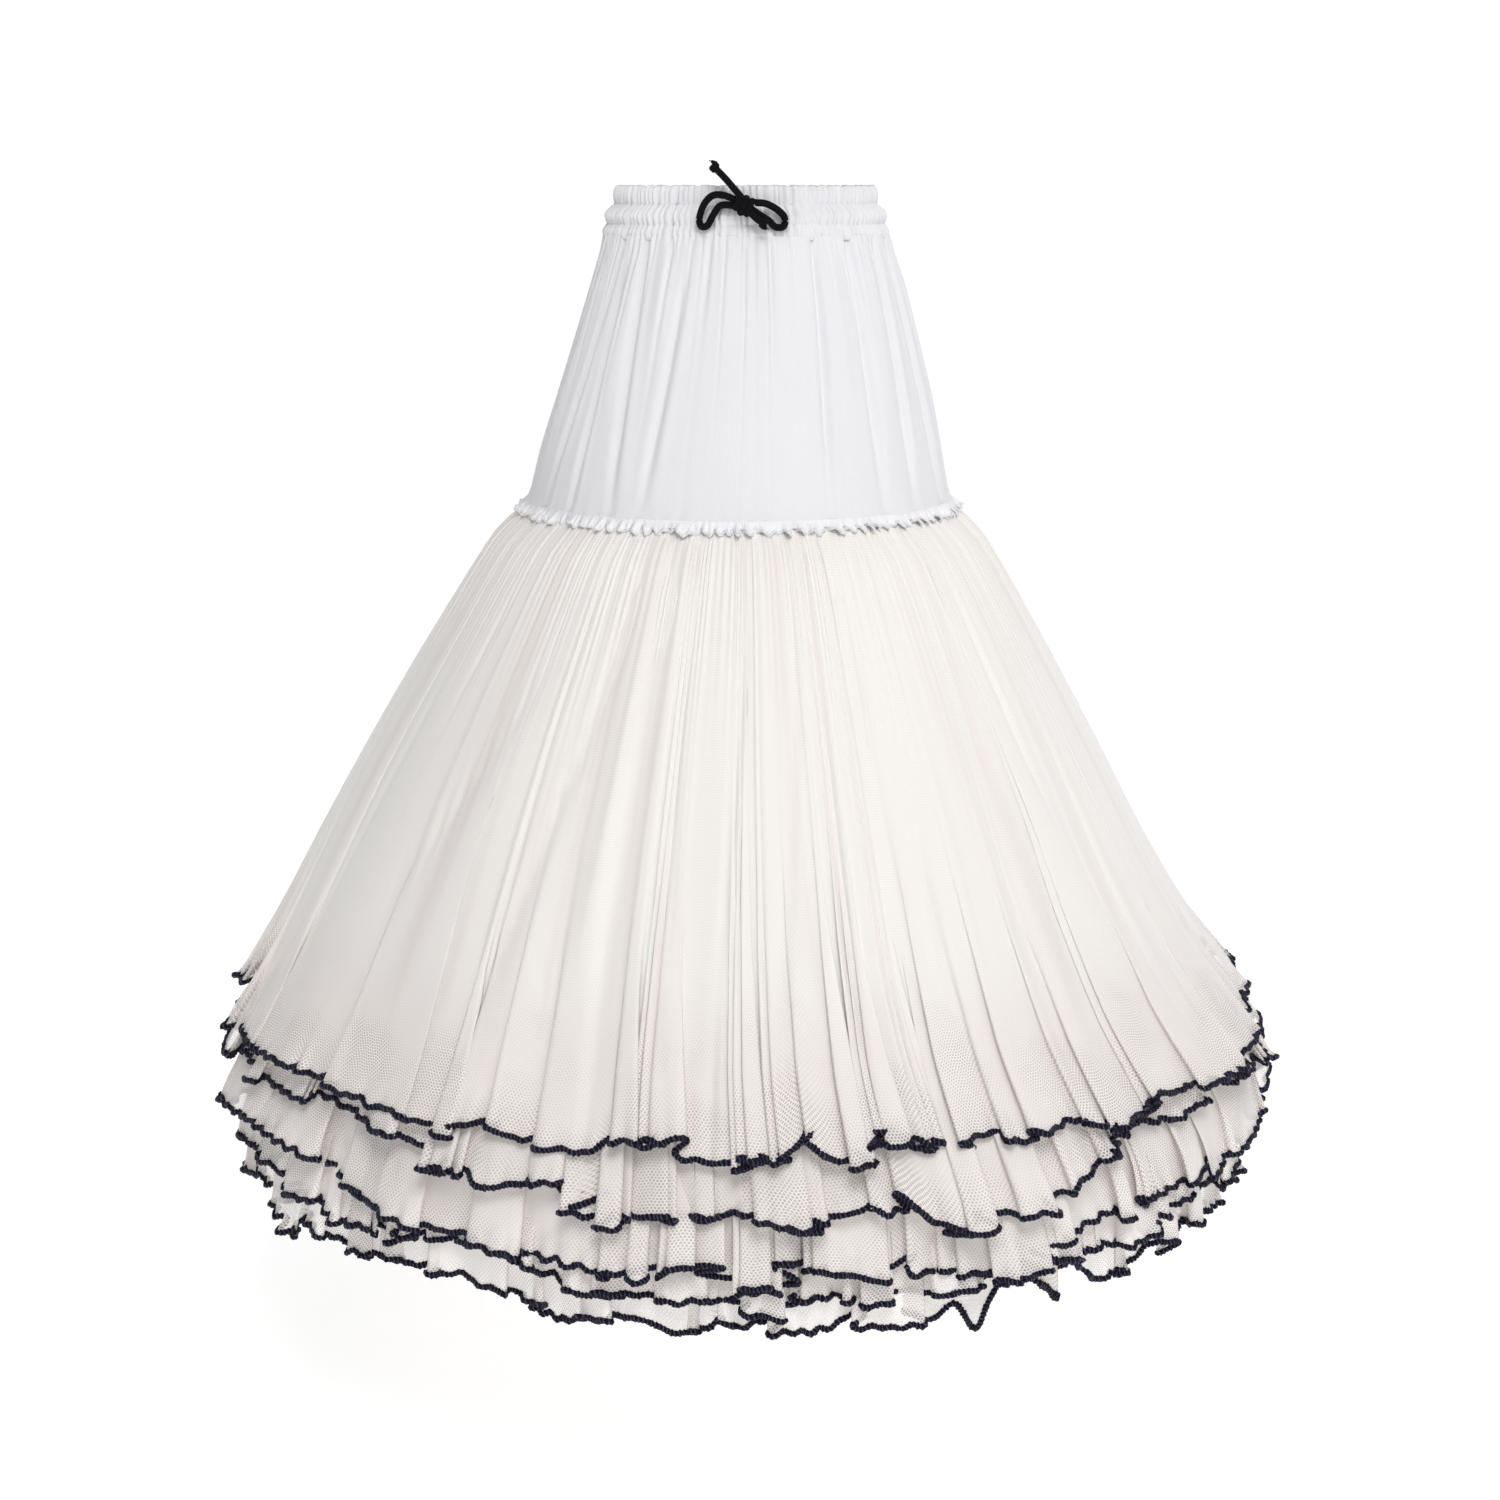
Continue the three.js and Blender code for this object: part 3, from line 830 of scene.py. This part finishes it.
# Where each layer's hem folds in front, from the left to the right: the angle in degrees, the
# hem's height in millimetres off its smooth line just before and just after, how many folds
# lie on each other there, and how far each overlaps. No folds means a plain bend of the hem.
HEM_FOLDS = [
    [
        (-79, -14, -14, 2, 12),
        (-64, 2, 1, 2, 14),
        (-55, 5, 5, 0, 0),
        (-47, 4, 3, 1, 9),
        (-34, -3, -3, 0, 0),
        (-29.5, -6, 0, 3, 12),
        (-25, 5, 1, 1, 10),
        (-20, -8, -7, 1, 6),
        (-14, -8, -6, 0, 0),
        (-12, 4, 4, 1, 5),
        (-9, 4, 5, 4, 13),
        (-5.5, 10, -9, 1, 12),
        (-1.5, -10, -9, 0, 0),
        (0.8, -9, -7, 3, 14),
        (3.8, -2, -6, 2, 10),
        (6.8, 14, 6, 1, 8),
        (9, -9, -9, 0, 0),
        (11.4, -13, -4, 2, 14),
        (14.5, 4, 3, 4, 15),
        (18.5, -4, -10, 3, 12),
        (22.5, -15, -6, 1, 12),
        (26.5, -5, -9, 1, 4),
        (29.7, -13, -5, 1, 8),
        (36, -6, -9, 1, 5),
        (39, -14, -17, 1, 12),
        (43, -14, -14, 0, 0),
        (46, -7, -2, 1, 14),
        (54, -11, -11, 1, 7),
        (65, -18, -16, 2, 10),
        (76, -14, -12, 2, 12),
    ],
    [
        (-75, 18, 20, 2, 14),
        (-62, 27, 28, 2, 12),
        (-52, 29, 32, 3, 10),
        (-41, 36, 36, 0, 0),
        (-36, 32, 29, 1, 6),
        (-30, 20, 10, 3, 14),
        (-28, 17, 16, 1, 10),
        (-25, 5, 5, 0, 0),
        (-20.5, 14, 14, 1, 5),
        (-17.4, 20, 8, 1, 6),
        (-15, 10, -4, 1, 28),
        (-12, -8, -8, 3, 12),
        (-7.5, -2, -5, 2, 13),
        (-4, -5, -5, 0, 0),
        (1, -1, -1, 1, 4),
        (5.8, -9, -6, 3, 15),
        (10, -2, -2, 0, 0),
        (12, 4, 0, 1, 6),
        (14.8, -6, 14, 1, 8),
        (17.6, -14, -14, 0, 0),
        (20.3, -18, -20, 3, 13),
        (22.5, -22, -8, 1, 14),
        (26, -16, -15, 1, 5),
        (29.4, -14, -8, 1, 5),
        (32.3, -9, -3, 1, 5),
        (37, 8, 9, 1, 5),
        (39.5, 15, 24, 3, 12),
        (43.3, 30, 29, 1, 8),
        (50, 16, 16, 0, 0),
        (55, 24, 25, 2, 10),
        (61, 27, 26, 1, 8),
        (73, 18, 18, 2, 12),
    ],
    [
        (-75, 14, 16, 2, 14),
        (-60, 34, 32, 2, 14),
        (-49, 26, 21, 1, 16),
        (-43.5, 14, 14, 1, 6),
        (-38, 7, 7, 2, 8),
        (-33, -3, -4, 1, 10),
        (-27, -6, -6, 1, 5),
        (-22, -13, -12, 1, 6),
        (-16, -12, -12, 0, 0),
        (-13, -19, -16, 1, 6),
        (-9.8, -11, -12, 2, 10),
        (-6.3, -8, -8, 3, 13),
        (-3.2, -5, -16, 1, 20),
        (1, -24, -24, 4, 15),
        (3.8, -26, -5, 1, 15),
        (6.5, -8, -10, 2, 12),
        (10, -20, -20, 0, 0),
        (13, -25, -24, 1, 8),
        (15.8, -8, -22, 1, 8),
        (18.6, -24, -20, 1, 6),
        (20.5, -26, -26, 1, 6),
        (25, -27, -27, 3, 15),
        (28.5, -28, -12, 2, 18),
        (32, -10, -10, 1, 6),
        (39.5, 0, -4, 2, 9),
        (43, -6, 4, 1, 8),
        (50, 2, 2, 1, 10),
        (55, 9, -2, 1, 20),
        (61, 1, 1, 1, 6),
        (76, -2, -2, 2, 12),
    ],
    [
        (-75, 8, 10, 2, 14),
        (-61, 26, 26, 3, 14),
        (-54, 22, 10, 2, 16),
        (-49, 17, 14, 1, 10),
        (-45, 3, 6, 1, 6),
        (-40, 10, 10, 2, 12),
        (-36, 5, 8, 3, 13),
        (-33, 12, 8, 1, 6),
        (-29, 14, 13, 1, 8),
        (-24, 8, 8, 0, 0),
        (-21, 3, 0, 1, 8),
        (-17, -9, -10, 1, 5),
        (-13, -17, -8, 1, 18),
        (-8, -14, -14, 1, 8),
        (-4, -10, -16, 1, 10),
        (0, -19, -20, 1, 8),
        (2.6, -29, -26, 1, 18),
        (5.5, -11, -13, 1, 6),
        (9.5, -19, -19, 1, 6),
        (12.5, -17, -17, 2, 18),
        (18, -18, -17, 1, 6),
        (22, -13, -12, 2, 10),
        (27, -10, -10, 3, 15),
        (34, -6, -6, 2, 10),
        (40, -6, -6, 1, 6),
        (45, 0, 10, 3, 14),
        (51, 16, 12, 1, 10),
        (60, 6, 6, 2, 10),
        (74, 5, 5, 2, 12),
    ],
    [
        (-76, 12, 14, 2, 14),
        (-62, 24, 21, 1, 14),
        (-54, 16, 30, 1, 12),
        (-49, 27, 27, 1, 6),
        (-44, 25, 25, 1, 8),
        (-38.5, 25, 32, 1, 12),
        (-33, 26, 26, 1, 5),
        (-29.5, 29, 28, 0, 0),
        (-24.5, 19, 18, 1, 5),
        (-21, 15, 6, 1, 12),
        (-18, 3, 3, 0, 0),
        (-16.2, 15, 6, 1, 5),
        (-13, 14, 14, 1, 5),
        (-9.5, 14, 14, 0, 0),
        (-6, 4, 4, 0, 0),
        (-3.5, 8, 8, 0, 0),
        (-2.4, 17, 15, 1, 5),
        (-0.8, 9, 9, 0, 0),
        (3, 12, 5, 1, 16),
        (7.5, 5, 5, 0, 0),
        (10.9, 19, 8, 1, 12),
        (13.4, 4, 4, 0, 0),
        (16.6, 5, 14, 1, 12),
        (18, 5, 5, 0, 0),
        (19.8, 6, 14, 0, 0),
        (21.2, 16, 16, 0, 0),
        (23.4, -14, -14, 0, 0),
        (24.5, 10, 14, 0, 0),
        (26.6, 29, 29, 0, 0),
        (30.2, 24, 24, 0, 0),
        (31.8, 3, 22, 1, 12),
        (33.7, 26, 42, 1, 12),
        (36, 24, 24, 0, 0),
        (38.8, 6, 6, 0, 0),
        (43, 10, 12, 0, 0),
        (45.8, 27, 27, 0, 0),
        (49, 22, 10, 1, 14),
        (53, 34, 32, 2, 10),
        (62, 22, 22, 1, 10),
        (75, 14, 14, 2, 12),
    ],
]
# Creases of the outermost net in front: angle where it starts and ends, the share of the
# net's length there, depth in millimetres (a trough is negative) and width in millimetres.
NET_CREASES = [
    (-81, -80, 0.2, 0.9, -1.5, 6),
    (-69, -71, 0.38, 0.82, -2.2, 5),
    (-67, -66, 0.35, 0.9, 3.0, 9),
    (-60, -63, 0.32, 0.86, -2.5, 4),
    (-52, -53, 0.15, 0.38, -3.0, 3),
    (-34, -50, 0.25, 0.72, -4.0, 3.5),
    (-35, -42, 0.3, 0.9, 3.5, 18),
    (-20, -31, 0.1, 0.93, -4.0, 3.5),
    (-24, -27, 0.6, 1.0, 3.0, 12),
    (-16, -18, 0.15, 0.75, 4.5, 8),
    (-15, -15, 0.03, 1.05, -5.5, 7),
    (-8, -8, 0.0, 0.32, -3.0, 8),
    (-9, -7, 0.28, 0.75, -2.5, 3),
    (-8, -6, 0.6, 0.95, 2.5, 6),
    (2, -3, 0.2, 1.05, -3.5, 3),
    (1, -2, 0.42, 0.9, 3.5, 5),
    (11, 4, 0.2, 1.05, -3.5, 3),
    (15, 14, 0.1, 1.0, -4.0, 3.5),
    (12, 12, 0.62, 0.95, 3.5, 8),
    (19, 17, 0.3, 0.9, 2.5, 10),
    (24, 18, 0.15, 0.55, -2.5, 2.5),
    (29, 29, 0.05, 0.36, -2.5, 3),
    (29, 24, 0.35, 0.82, -3.0, 4),
    (30, 27, 0.5, 0.95, 3.5, 16),
    (42, 36, 0.3, 1.05, -4.5, 8),
    (44, 40, 0.5, 0.9, 3.0, 8),
    (50, 51, 0.12, 0.55, -3.5, 3),
    (49, 55, 0.48, 0.88, 3.5, 14),
    (59, 58, 0.35, 0.85, -3.5, 4),
    (72, 60, 0.58, 0.95, -3.0, 4),
    (80, 76, 0.2, 0.9, -1.5, 6),
]
NET_COLUMNS = 1800
WIDE_FOLDS = 9
HEM_RADIUS = 455
HEM_THREAD = 0.0026
HEM_STITCHES = 1800
# The angles in degrees where the listed folds and creases end, on the right and left.
FOLDS_END = (83.0, 278)
CREASES_END = (94, 266)


def like_folds(layer, rng):
    """Folds like the front's for the sides and the back, as uneven in place, size and height."""
    rows, at = [], FOLDS_END[0]
    middle = HEM_FOLDS[layer][0][1]
    while at < FOLDS_END[1]:
        count = int(rng.choice([0, 1, 1, 1, 2, 3]))
        height = middle * 0.5 + float(rng.normal(0, 7))
        step = float(rng.normal(0, 7)) if count else 0.0
        rows.append((at, height, height + step, count, float(rng.uniform(6, 17)) if count else 0))
        at += float(rng.uniform(2.6, 6.0)) + 1.2 * count
    return rows


def fold_table(layer, rng):
    """All of a layer's folds round the hem, in order, and the heights that its hem passes."""
    folds = []
    for at, before, after, count, lap in HEM_FOLDS[layer] + like_folds(layer, rng):
        for k in range(max(count, 1)):
            share = k / count if count else 0
            rise = before + (after - before) * share
            fall = before + (after - before) * min(share + 1 / max(count, 1), 1)
            if count > 1:
                rise += float(rng.uniform(2, 5)) * (-1) ** k * (k > 0)
                fall -= float(rng.uniform(2, 5)) * (-1) ** k * (k < count - 1)
            to_side = abs(math.sin(math.radians(at))) > 0.95
            lap_here = lap * float(rng.uniform(0.85, 1.15))
            depth = float(rng.uniform(5, 8)) * (1 + 0.12 * count)
            depth = depth * float(rng.choice([-1, 1])) * (count > 0)
            folds.append(
                dict(
                    at=(at + (k - (count - 1) / 2) * 0.8 * (count > 1)) % 360,
                    lap=lap_here,
                    heights=(rise, fall),
                    depth=depth,
                    start=max(float(rng.uniform(0.4, 0.7)), 0.82 * to_side),
                )
            )
    gap = 360 / WIDE_FOLDS
    for k in range(WIDE_FOLDS):
        folds.append(
            dict(
                at=(k * gap + float(rng.uniform(-6, 6))) % 360,
                lap=float(rng.uniform(8, 22)),
                heights=None,
                depth=float(rng.uniform(1, 2)) * float(rng.choice([-1, 1])),
                start=float(rng.uniform(-0.3, 0.35)),
            )
        )
    return sorted(folds, key=lambda f: f["at"])


def like_creases(first, last, rng):
    """Creases like the front's for the sides and the back, as uneven in place and length."""
    rows, at = [], first
    while at < last:
        start = float(rng.uniform(0, 0.5))
        end = start + float(rng.uniform(0.25, 0.75))
        trough = rng.random() < 0.62
        depth = -float(rng.uniform(2.5, 5)) if trough else float(rng.uniform(2.5, 4))
        width = float(rng.uniform(3, 6)) if trough else float(rng.uniform(6, 16))
        rows.append((at, at + float(rng.uniform(-6, 6)), start, end, depth, width))
        at += float(rng.uniform(4, 8))
    return rows


def crease_offset(rows, degrees, share):
    """How far creases push the net in or out; each is steep on one side and soft on the other."""
    out = np.zeros(np.broadcast(degrees, share).shape)
    for first, last, start, end, depth, width in rows:
        part = np.clip((share - start) / (end - start), 0, 1)
        away = (degrees - first - (last - first) * part + 180) % 360 - 180
        # Across the net in millimetres, which has more of them to a degree further down.
        away = away * (4.2 + 3.75 * share)
        away = away / np.where(away * np.sign(first) > 0, width, 1.9 * width)
        grown = smoothstep(start - 0.08, start + 0.12, share)
        fade = grown * (1 - smoothstep(end - 0.15, end + 0.05, share))
        out = out + depth * fade * np.exp(-(away**2))
    return out


def net_rows(layer):
    """How far down the net each ring of points lies, closest where the folds and hem show."""
    if layer:
        upper, middle, lower = [0], np.linspace(0.12, 0.84, 12)[:-1], np.linspace(0.84, 1, 13)
    else:
        upper, middle = np.linspace(0, 0.1, 5)[:-1], np.linspace(0.1, 0.86, 14)[:-1]
        lower = np.linspace(0.86, 1, 11)
    return np.concatenate([upper, middle, lower])


def fold_cloth(folds, opened):
    """How the cloth runs round the skirt: at each fold back under itself, and on again.

    opened is how far the folds have opened at each ring, from 0 at the seam to 1. The results
    are each column's share of the cloth, its place as a share of a turn at each ring, how far
    it stands off there, and how far its hem lifts, both in millimetres.
    """
    round_hem = TURN * HEM_RADIUS
    lap = np.array([f["lap"] for f in folds]) / round_hem
    at = np.array([f["at"] for f in folds]) / 360
    starts = at + lap / 2 + 2 * (np.cumsum(lap) - lap)
    cloth = 1 + 2 * lap.sum()
    c = np.linspace(0, cloth, NET_COLUMNS + 1)
    knots, heights, off_knots, off_heights = [], [], [], []
    for f, s, w in zip(folds, starts, lap):
        off_knots += [s, s + max(w, 1e-6)]
        off_heights += [f["depth"], -f["depth"]]
        if f["heights"]:
            knots += [s, s + max(w, 1e-6)]
            heights += f["heights"]
    folded = c - sum(2 * w * smoothstep(s, s + w, c) for s, w in zip(starts, lap) if w > 0)
    middles = starts + lap / 2
    around = np.concatenate([middles[-1:] - cloth, middles, middles[:1] + cloth])
    gathered = np.interp(c, around, np.concatenate([at[-1:] - 1, at, at[:1] + 1]))
    soften = np.hanning(7)
    soften /= soften.sum()

    def smooth(values):
        wrapped = np.concatenate([values[-4:-1], values, values[1:4]])
        return np.convolve(wrapped, soften, "valid")

    off = smooth(np.interp(c, off_knots, off_heights, period=cloth))
    lift = smooth(np.interp(c, knots, heights, period=cloth))
    turn = np.zeros((len(opened), len(c)))
    away = np.zeros_like(turn)
    for r, open_here in enumerate(opened):
        grown = [smoothstep(f["start"], 1, open_here) for f in folds]
        turn[r] = gathered + np.interp(c, middles, grown, period=cloth) * (folded - gathered)
        away[r] = off * (0.1 + 0.9 * open_here**5)
    return c / cloth, turn, away, lift


def net_layer(layer):
    """One gathered layer of net, with its folds, creases and waves, and its overlocked hem."""
    form = LAYERS[layer]
    rng = np.random.default_rng(SEED + layer)
    folds = fold_table(layer, rng)
    down = net_rows(layer)
    opened = np.clip((down * (NET_FREE - form["hem"])) / NET_SPREAD, 0, 1)
    along, turn, away, lift = fold_cloth(folds, opened)
    angle = turn * TURN
    share = down[:, None]
    slow = sum(
        a * np.sin(n * angle + p)
        for a, n, p in zip((3.4, 3.0, 2.4), (7, 11, 17), rng.uniform(0, TURN, 3))
    )
    hem = form["hem"] - form["droop"] * np.sin(angle[-1]) ** 2 + lift
    hem = hem + 1.1 * uneven_wave(along, 90, 330, 7, rng)
    length = NET_TOP - hem
    z = NET_TOP - share * length
    below = (1 - share) * length
    shown = smoothstep(form["shown"] * 1.6, form["shown"] * 0.3, below)
    calm = 0.2 + 0.8 * shown if layer else 1.0
    fine = uneven_wave(along, 150, 420, 6, rng)
    free = smoothstep(0, 26, NET_FREE - z)
    gathers = (0.7 + 0.9 * free) * fine * np.exp(-np.maximum(NET_FREE - z, 0) / 60)
    swell = 0.35 + np.clip(0.65 * uneven_wave(along, 8, 40, 5, rng) + 0.65, 0, 1.6)
    ripple = 2.3 * swell * uneven_wave(along, 130, 380, 8, rng) * np.exp(-below / 10)
    if layer:
        creases = like_creases(0, 356, rng)
    else:
        creases = NET_CREASES + like_creases(*CREASES_END, rng)
    creased = crease_offset(creases, np.degrees(angle), share)
    out = away * calm * free + (slow * share + creased) * calm + gathers + ripple
    out = out - form["inside"] * opened[:, None] - 0.5 * layer
    out = out + form["flare"] * np.exp(-below / 30)
    out = out - (1 - smoothstep(0, 8, NET_FREE - z)) * 3.0
    points = on_skirt(angle, z, out)
    width, cut_length = form["cut"]
    uv = np.stack(np.broadcast_arrays(along * width, (1 - share) * cut_length), axis=-1)
    name = form["name"]
    number = layer + 1
    widths = ["_front", "_right", "_back", "_left"] if number in (1, 5) else [""]
    nodes = [f"net_layer_{number}{width_name}" for width_name in widths]
    net = piece(name, rows_mesh(name, points, uv), NET, "net_ivory", *nodes)
    outward = np.stack([np.sin(angle[-1]), -np.cos(angle[-1]), 0 * angle[-1]], axis=-1)[:-1]
    edge = hem_thread(
        f"{name}_overlock",
        points[-1, :-1],
        outward,
        HEM_THREAD,
        HEM_STITCHES,
        NAVY,
        "edging_navy",
        SEED + 20 + layer,
        f"net_edging_{number}",
    )


for number in range(len(LAYERS)):
    net_layer(number)

FLOUNCE_TOP = -420
FLOUNCE_LENGTH = 220
FLOUNCE_COLUMNS = 720
FLOUNCE_ROWS = 24


def inner_flounce():
    """The plain flounce under all the net, softly gathered."""
    turn = np.linspace(0, 1, FLOUNCE_COLUMNS + 1)[None, :]
    share = np.linspace(0, 1, FLOUNCE_ROWS + 1)[:, None]
    angle = turn * TURN
    z = FLOUNCE_TOP - FLOUNCE_LENGTH * share + 0 * turn
    opened = (NET_FREE - z) / NET_SPREAD
    waves = np.sin(28 * angle + 1.6 * np.sin(5 * angle)) + 0.5 * np.sin(47 * angle + 2)
    out = -52 * opened - 4 + (1.5 + 4 * share) * waves
    points = on_skirt(angle, z, out)
    uv = np.stack(np.broadcast_arrays(turn * 3.2, share * 0.24), axis=-1)
    mesh = rows_mesh("flounce", points, uv)
    flounce = piece("flounce", mesh, LINING, "lining_pale", "inner_flounce")


inner_flounce()

# Studio


FLOOR_AT = (0, 0, -1.06)
FLOOR_RADIUS = 14.0
SKIRT_MIDDLE = (0, 0, -0.42)


def floor():
    bm = bmesh.new()
    bmesh.ops.create_circle(bm, cap_ends=True, radius=FLOOR_RADIUS, segments=64)
    bmesh.ops.translate(bm, verts=bm.verts, vec=FLOOR_AT)
    mesh = bpy.data.meshes.new("floor")
    bm.to_mesh(mesh)
    bm.free()
    material, _, shader = new_material("pale floor", 0.9)
    shader.inputs["Base Color"].default_value = (0.45, 0.45, 0.45, 1)
    shader.inputs["Emission Color"].default_value = (1, 1, 1, 1)
    shader.inputs["Emission Strength"].default_value = 0.77
    mesh.materials.append(material)
    obj = bpy.data.objects.new("floor", mesh)
    bpy.context.scene.collection.objects.link(obj)


def area_light(name, place, size, power):
    data = bpy.data.lights.new(name, "AREA")
    data.shape = "DISK"
    data.size = size
    data.energy = power
    light = bpy.data.objects.new(name, data)
    light.location = place
    aim = Vector(SKIRT_MIDDLE) - Vector(place)
    light.rotation_euler = aim.to_track_quat("-Z", "Y").to_euler()
    bpy.context.scene.collection.objects.link(light)


def studio():
    """A white room, dimmer to both sides, with a large soft light in front, a little to the right."""
    world = bpy.data.worlds.new("studio")
    bpy.context.scene.world = world
    world.use_nodes = True
    tree = world.node_tree
    back = tree.nodes["Background"]
    way = node(tree, "ShaderNodeSeparateXYZ", {0: node(tree, "ShaderNodeTexCoord").outputs["Generated"]})
    left = smooth_range(tree, way.outputs[0], -0.5, 0.1, 1.0, 0.0)
    right = smooth_range(tree, way.outputs[0], 0.3, 0.85, 0.0, 0.75)
    high = smooth_range(tree, way.outputs[2], -0.05, 0.3)
    dimmed = math_node(tree, "MULTIPLY", math_node(tree, "ADD", left, right), high)
    side = math_node(tree, "SUBTRACT", 1.0, dimmed)
    above = smooth_range(tree, way.outputs[2], 0.2, 0.85, 0.88, 1.12)
    light = math_node(tree, "MULTIPLY", side, above)
    # The backdrop itself stays plain white.
    seen = node(tree, "ShaderNodeLightPath").outputs["Is Camera Ray"]
    strength = node(tree, "ShaderNodeMix", {0: seen, 2: light, 3: 1.05}, data_type="FLOAT")
    tree.links.new(strength.outputs[0], back.inputs["Strength"])
    back.inputs["Color"].default_value = (1, 1, 1, 1)
    area_light("key", (0.3, -2.7, 2.4), 1.6, 56)
    floor()


studio()
